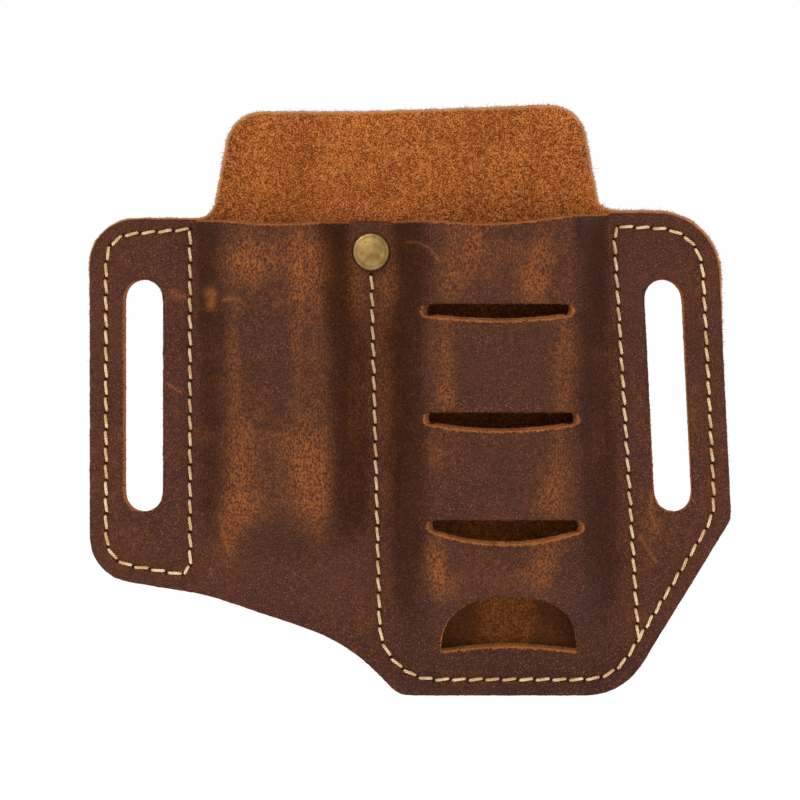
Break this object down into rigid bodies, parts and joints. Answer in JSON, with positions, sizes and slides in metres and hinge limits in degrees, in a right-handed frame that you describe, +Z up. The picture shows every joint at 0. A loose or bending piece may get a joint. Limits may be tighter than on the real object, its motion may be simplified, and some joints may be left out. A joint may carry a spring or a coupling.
{
  "type": "tool pouch",
  "caption": "Leather belt pouch: moulded tool pockets sewn and riveted to a flat back panel with a raised guard flap and ears slotted for a belt.",
  "frame": {"origin": "on the back face that lies against the wearer, halfway between the belt slots and on the belt's centre line", "axes": "+Z up as worn, +X to the right as the pouch's front is seen, +Y out of the back face towards the wearer"},
  "size_m": [0.1577, 0.0231, 0.1455],
  "materials": {
    "back_leather": "raw suede inside, oiled grain outside",
    "front_leather": "oiled pull-up grain, rubbed lighter on the ridges",
    "thread": "waxed",
    "rivet_brass": "aged, satin"
  },
  "bodies": {
    "root": {"back_panel": "back_leather", "front_panel": "front_leather", "left_loop_needle_thread": "thread", "left_loop_bobbin_thread": "thread", "main_seam_needle_thread": "thread", "main_seam_bobbin_thread": "thread", "rivet_cap": "rivet_brass", "rivet_post": "rivet_brass"}
  },
  "joints": []
}
